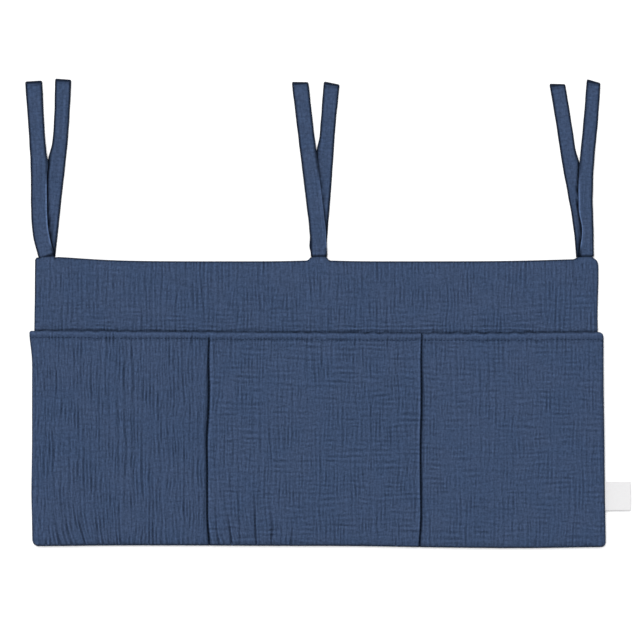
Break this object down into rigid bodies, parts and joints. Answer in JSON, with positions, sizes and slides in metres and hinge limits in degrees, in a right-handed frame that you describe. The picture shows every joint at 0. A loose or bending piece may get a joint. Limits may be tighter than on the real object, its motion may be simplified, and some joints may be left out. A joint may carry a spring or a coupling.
{
  "type": "hanging pocket organizer",
  "caption": "Soft padded organizer with a row of pockets, paired ties along its top edge and a folded side label.",
  "frame": {"origin": "centre of the panel's flat back face", "axes": "+X along the row of pockets, +Y towards the ties, +Z out of the pocket side through the thickness"},
  "size_m": [0.6335, 0.4874, 0.0145],
  "materials": {
    "gauze": "matte",
    "tie_gauze": "matte",
    "lining": "matte",
    "wadding": "matte",
    "thread": "matte",
    "label": "satin"
  },
  "bodies": {
    "panel": {"back_cloth": "gauze", "panel_wadding": "wadding", "front_cloth": "gauze", "perimeter_stitching": "thread", "left_divider_seam": "thread", "right_divider_seam": "thread", "left_tie_root": "gauze", "middle_tie_root": "gauze", "right_tie_root": "gauze"},
    "left_pocket": {"left_pocket_cloth": "gauze", "left_pocket_wadding": "wadding", "left_pocket_lining": "lining", "left_rim_stitching": "thread"},
    "middle_pocket": {"middle_pocket_cloth": "gauze", "middle_pocket_wadding": "wadding", "middle_pocket_lining": "lining", "middle_rim_stitching": "thread"},
    "right_pocket": {"right_pocket_cloth": "gauze", "right_pocket_wadding": "wadding", "right_pocket_lining": "lining", "right_rim_stitching": "thread"},
    "tie_left_front": {"tie_left_front": "tie_gauze"},
    "tie_left_back": {"tie_left_back": "tie_gauze"},
    "tie_middle_front": {"tie_middle_front": "tie_gauze"},
    "tie_middle_back": {"tie_middle_back": "tie_gauze"},
    "tie_right_front": {"tie_right_front": "tie_gauze"},
    "tie_right_back": {"tie_right_back": "tie_gauze"},
    "label": {"label": "label"}
  },
  "joints": [
    {"name": "left_pocket_opens", "type": "hinge", "parent": "panel", "child": "left_pocket", "pos_m": [-0.2088, -0.149, 0.0049], "axis": [1, 0, 0], "range_deg": [0, 8]},
    {"name": "middle_pocket_opens", "type": "hinge", "parent": "panel", "child": "middle_pocket", "pos_m": [-0.0035, -0.149, 0.0049], "axis": [1, 0, 0], "range_deg": [0, 8]},
    {"name": "right_pocket_opens", "type": "hinge", "parent": "panel", "child": "right_pocket", "pos_m": [0.2053, -0.149, 0.0049], "axis": [1, 0, 0], "range_deg": [0, 8]},
    {"name": "tie_left_front_folds", "type": "hinge", "parent": "panel", "child": "tie_left_front", "pos_m": [-0.2835, 0.154, 0.0028], "axis": [1, 0, 0], "range_deg": [0, 135]},
    {"name": "tie_left_back_folds", "type": "hinge", "parent": "panel", "child": "tie_left_back", "pos_m": [-0.2835, 0.154, 0.0008], "axis": [1, 0, 0], "range_deg": [-135, 0]},
    {"name": "tie_middle_front_folds", "type": "hinge", "parent": "panel", "child": "tie_middle_front", "pos_m": [0.001, 0.154, 0.0028], "axis": [1, 0, 0], "range_deg": [0, 135]},
    {"name": "tie_middle_back_folds", "type": "hinge", "parent": "panel", "child": "tie_middle_back", "pos_m": [0.001, 0.154, 0.0008], "axis": [1, 0, 0], "range_deg": [-135, 0]},
    {"name": "tie_right_front_folds", "type": "hinge", "parent": "panel", "child": "tie_right_front", "pos_m": [0.28, 0.154, 0.0028], "axis": [1, 0, 0], "range_deg": [0, 135]},
    {"name": "tie_right_back_folds", "type": "hinge", "parent": "panel", "child": "tie_right_back", "pos_m": [0.28, 0.154, 0.0008], "axis": [1, 0, 0], "range_deg": [-135, 0]},
    {"name": "label_folds", "type": "hinge", "parent": "panel", "child": "label", "pos_m": [0.3024, -0.097, 0.003], "axis": [0, -1, 0], "range_deg": [0, 90]}
  ]
}
